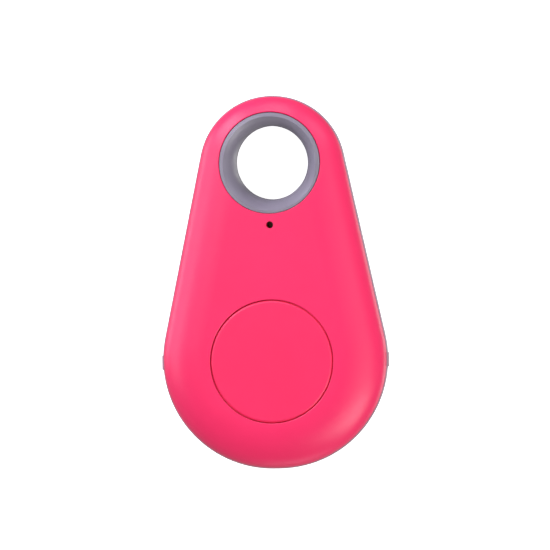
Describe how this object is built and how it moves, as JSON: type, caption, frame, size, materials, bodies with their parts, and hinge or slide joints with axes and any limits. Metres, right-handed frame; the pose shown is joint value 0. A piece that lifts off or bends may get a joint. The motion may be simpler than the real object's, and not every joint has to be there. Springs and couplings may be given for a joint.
{
  "type": "bluetooth tracker tag",
  "caption": "Teardrop key-finder tag with a round push button, a sleeved keyring hole, two covers snapped over a middle frame, and a coin cell and board inside.",
  "frame": {"origin": "middle of the resting face, on the surface the tag lies on", "axes": "+Z out of the button side, +Y towards the keyring end, +X to the right seen from the button side"},
  "size_m": [0.0318, 0.052, 0.011],
  "materials": {
    "pink_cover": "fine satin moulding",
    "pink_button": "fine satin moulding",
    "grey_frame": "satin, slightly translucent",
    "board_laminate": "solder mask over glass laminate",
    "board_copper": "thin copper under mask",
    "black_plastic": "moulded",
    "white_plastic": "moulded",
    "switch_steel": "stamped",
    "tinned_metal": "tinned",
    "chip_resin": "moulded resin",
    "solder": "bright solder",
    "crystal_can": "seam-welded lid",
    "led_resin": "clear yellowish resin",
    "capacitor_ceramic": "tan ceramic with tinned ends",
    "resistor_ceramic": "black film on white ceramic",
    "inductor_ferrite": "ferrite with enamelled wire",
    "cell_steel": "nickel-plated",
    "cell_cap": "nickel-plated, at the mean density of the cell and its contents",
    "gasket_plastic": "moulded",
    "contact_steel": "nickel-plated spring steel",
    "adhesive": "foam adhesive",
    "buzzer_brass": "rolled sheet",
    "buzzer_ceramic": "silvered ceramic",
    "spring_brass": "plated strip"
  },
  "bodies": {
    "rear": {"rear_cover": "pink_cover", "buzzer_adhesive_ring": "adhesive", "buzzer_disc": "buzzer_brass", "buzzer_ceramic": "buzzer_ceramic"},
    "core": {"middle_frame": "grey_frame", "circuit_board": "board_laminate", "antenna_trace": "board_copper", "switch_base": "black_plastic", "switch_plate": "switch_steel", "switch_legs": "tinned_metal", "switch_dome": "switch_steel", "radio_chip": "chip_resin", "radio_chip_pads": "solder", "main_crystal": "crystal_can", "clock_crystal": "crystal_can", "indicator_led": "led_resin", "chip_capacitors": "capacitor_ceramic", "chip_resistors": "resistor_ceramic", "boost_inductor": "inductor_ferrite", "driver_transistor": "chip_resin", "solder_joints": "solder", "battery_holder": "black_plastic", "battery_positive_clips": "contact_steel", "battery_negative_contact": "contact_steel", "buzzer_positive_spring": "spring_brass", "buzzer_negative_spring": "spring_brass"},
    "front": {"front_cover": "pink_cover"},
    "button": {"push_button": "pink_button"},
    "plunger": {"switch_plunger": "white_plastic"},
    "cell": {"battery_can": "cell_steel", "battery_gasket": "gasket_plastic", "battery_cap": "cell_cap"}
  },
  "joints": [
    {"name": "case_opening", "type": "slide", "parent": "rear", "child": "core", "axis": [0, 0, 1], "range_m": [0, 0.014]},
    {"name": "front_cover_lift", "type": "slide", "parent": "core", "child": "front", "axis": [0, 0, 1], "range_m": [0, 0.012]},
    {"name": "button_press", "type": "slide", "parent": "front", "child": "button", "axis": [0, 0, -1], "range_m": [0, 0.00025], "stiffness_N_per_m": 2000},
    {"name": "plunger_press", "type": "slide", "parent": "core", "child": "plunger", "axis": [0, 0, -1], "range_m": [0, 0.00025], "deforming": ["switch_dome"]},
    {"name": "cell_release", "type": "slide", "parent": "core", "child": "cell", "axis": [0, 0, -1], "range_m": [0, 0.006]}
  ],
  "couplings": [
    {"joint": "plunger_press", "follows": "button_press", "ratio": 1},
    {"joint": "cell_release", "follows": "case_opening", "ratio": 0.42}
  ]
}
